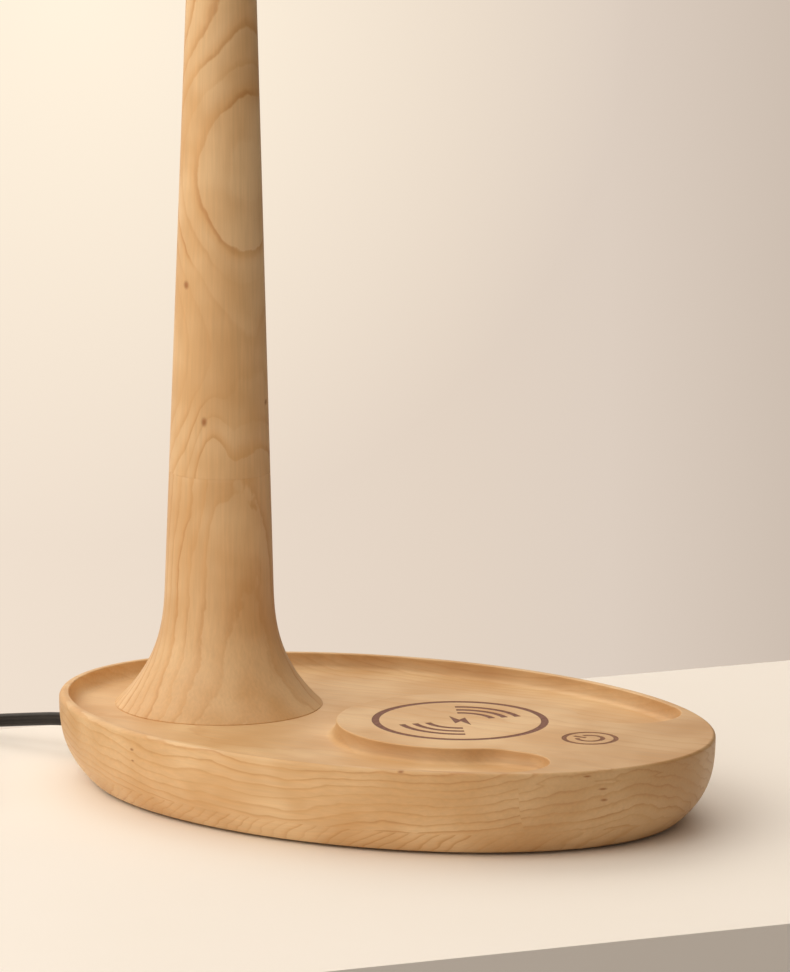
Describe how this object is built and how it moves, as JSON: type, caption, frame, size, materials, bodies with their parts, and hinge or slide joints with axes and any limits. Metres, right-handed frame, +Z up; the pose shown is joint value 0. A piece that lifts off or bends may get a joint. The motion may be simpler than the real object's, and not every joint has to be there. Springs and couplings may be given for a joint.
{
  "type": "wireless charging pad",
  "caption": "Oval wooden lamp foot with a wireless charging plateau, a tray, a touch mark, a flared wooden stem with a head socket, and a plug-in power lead.",
  "frame": {"origin": "on the desk, under the middle of the oval base: the bottom centre of the object's box without its power lead", "axes": "+X along the base from the stem to the charging end, +Z up the stem; the power lead leaves at -X"},
  "size_m": [0.3987, 0.2225, 0.349],
  "materials": {
    "maple": "satin oiled, fine cathedral grain",
    "engraving": "matt, laser-burnt colour",
    "touch_engraving": "matt, lighter burnt colour",
    "beech": "plain",
    "steel": "zinc plated",
    "brass": "satin",
    "nickel": "nickel plated",
    "copper": "enamelled copper",
    "cast_iron": "painted, fine sand texture",
    "ferrite": "matt sintered",
    "black_plastic": "matt moulded",
    "cover_plastic": "fine spark texture",
    "white_plastic": "matt moulded",
    "circuit_board": "green solder mask",
    "capacitor_can": "sleeved can",
    "wire_sheath": "smooth sheath",
    "cord_vinyl": "semi-matt vinyl",
    "rubber": "matt",
    "tie_strap": "woven hook strap",
    "adapter_plastic": "fine spark texture",
    "transformer_tape": "polyester tape"
  },
  "bodies": {
    "base": {"base_body": "maple", "charge_mark": "engraving", "touch_mark": "touch_engraving", "stem_lower": "maple", "stem_upper": "maple", "stem_insert": "brass", "stem_rod": "steel", "stem_washer": "steel", "stem_nut": "steel", "stem_dowels": "beech", "head_ferrule": "brass", "head_connector": "black_plastic", "counterweight": "cast_iron", "counterweight_screws": "steel", "bottom_cover": "cover_plastic", "cover_screws": "steel", "rubber_feet": "rubber", "coil_carrier": "white_plastic", "carrier_screws": "steel", "ferrite_disc": "ferrite", "charge_coil": "copper", "coil_leads": "copper", "charger_board": "circuit_board", "board_screws": "steel", "board_capacitors": "capacitor_can", "board_chips": "black_plastic", "board_connectors": "white_plastic", "touch_board": "circuit_board", "touch_spring": "copper", "touch_screws": "steel", "input_wires": "wire_sheath", "stem_wires": "wire_sheath", "touch_wires": "wire_sheath", "dc_jack": "black_plastic", "jack_pin": "nickel", "jack_bracket": "steel", "bracket_screws": "steel"},
    "power_lead": {"plug_barrel": "nickel", "plug_body": "cord_vinyl", "cord_run_base": "cord_vinyl", "cord_coil": "cord_vinyl", "coil_tie": "tie_strap", "cord_run_adapter": "cord_vinyl", "adapter_relief": "cord_vinyl", "adapter_lower_case": "adapter_plastic", "adapter_upper_case": "adapter_plastic", "adapter_board": "circuit_board", "adapter_transformer": "transformer_tape", "adapter_blades": "nickel"}
  },
  "joints": [
    {"name": "plug_slide", "type": "slide", "parent": "base", "child": "power_lead", "axis": [-1, 0, 0], "range_m": [0, 0.012]}
  ]
}
